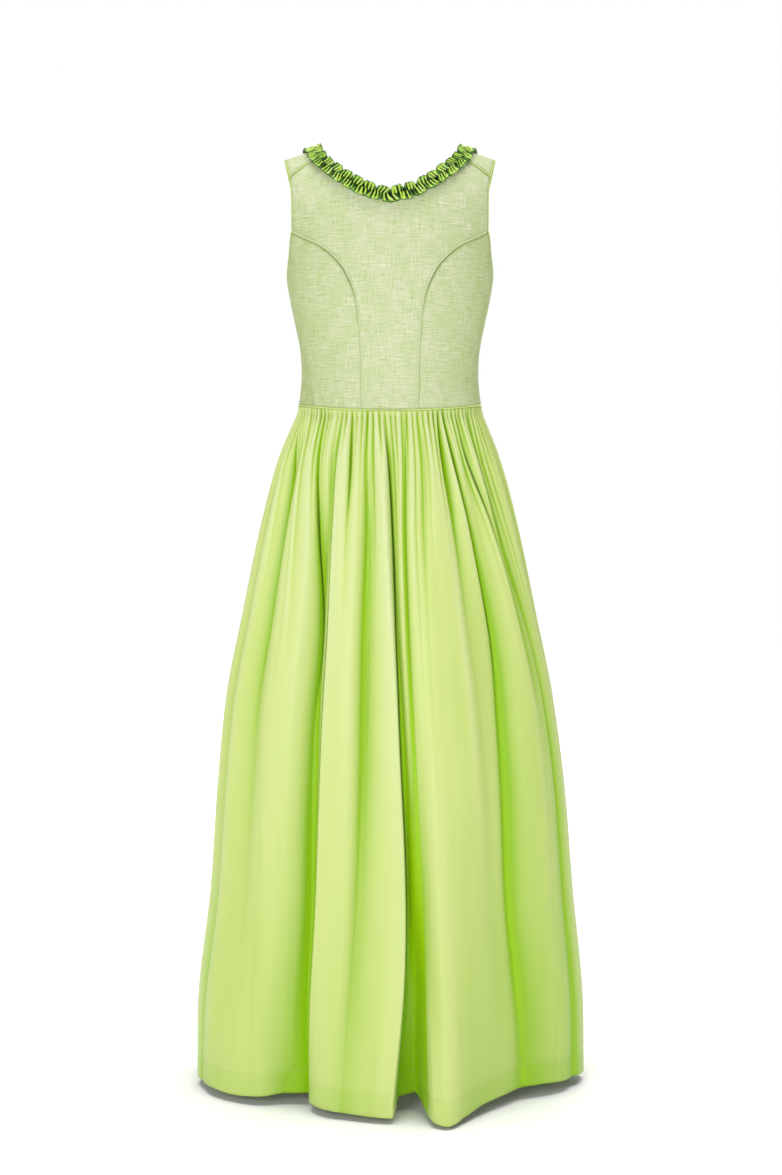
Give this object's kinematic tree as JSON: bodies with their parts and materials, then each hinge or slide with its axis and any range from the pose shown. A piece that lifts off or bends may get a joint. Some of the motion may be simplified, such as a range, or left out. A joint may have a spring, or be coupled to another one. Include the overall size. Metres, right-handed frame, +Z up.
{
  "type": "dirndl",
  "caption": "Sleeveless floor-length dirndl, filled out as when worn: fitted linen bodice with a ruched ribbon round the neck, and a long satin skirt gathered at the waist.",
  "frame": {"origin": "midway between the two shoulders, at the height where the shoulder straps rest on the wearer", "axes": "+Z up along the wearer's body; -Y is the wearer's back, the side that the picture shows, and +Y the wearer's front; +X is to the right when looking at the back, which is the wearer's right side"},
  "size_m": [0.5896, 0.5137, 1.3997],
  "materials": {
    "bodice_linen": "pale lime-grey slubbed linen weave, matt",
    "bright_piping": "bright lime satin-covered cord",
    "ruched_ribbon": "shiny mid-green and lime satin ribbon",
    "skirt_satin": "bright lime satin, soft sheen"
  },
  "bodies": {
    "root": {"back_centre": "bodice_linen", "back_side_left": "bodice_linen", "back_side_right": "bodice_linen", "front_left": "bodice_linen", "front_right": "bodice_linen", "princess_piping_left": "bodice_linen", "princess_piping_right": "bodice_linen", "armhole_piping_left": "bright_piping", "armhole_piping_right": "bright_piping", "shoulder_piping_left": "bright_piping", "shoulder_piping_right": "bright_piping", "waist_piping": "bright_piping", "neck_ruche_back": "ruched_ribbon", "neck_ruche_front": "ruched_ribbon", "skirt_back": "skirt_satin", "skirt_front": "skirt_satin"}
  },
  "joints": []
}
